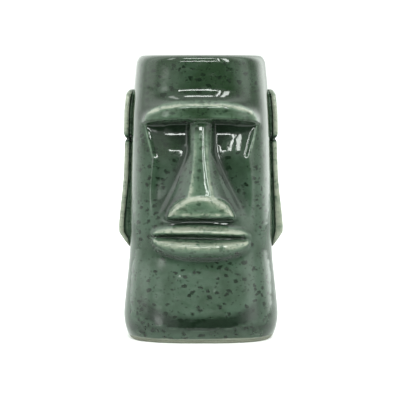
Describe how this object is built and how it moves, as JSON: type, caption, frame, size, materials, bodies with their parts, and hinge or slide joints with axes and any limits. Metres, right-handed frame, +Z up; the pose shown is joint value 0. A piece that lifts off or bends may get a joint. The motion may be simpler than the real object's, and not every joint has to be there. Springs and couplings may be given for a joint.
{
  "type": "tiki mug",
  "caption": "Tall straight-sided ceramic mug with a carved stone-head face: heavy brow, long nose, closed lips and long ears, in a mottled green glaze over a bare foot ring.",
  "frame": {"origin": "centre of the foot ring's underside, at the height of the table", "axes": "+Z up along the mug's axis, -Y out of the carved face, +X to the right as the face is looked at"},
  "size_m": [0.0872, 0.0839, 0.15],
  "materials": {
    "glaze": "glossy translucent mid-green glaze, pale where it runs thin over edges, dark where it pools, with soft darker speckles",
    "bare_clay": "unglazed buff stoneware, fine-grained and matt"
  },
  "bodies": {
    "root": {"cup_body": "glaze", "brow_ridge": "glaze", "nose": "glaze", "upper_lip": "glaze", "lower_lip": "glaze", "left_ear": "glaze", "right_ear": "glaze", "left_earlobe": "glaze", "right_earlobe": "glaze", "foot_ring": "bare_clay"}
  },
  "joints": []
}
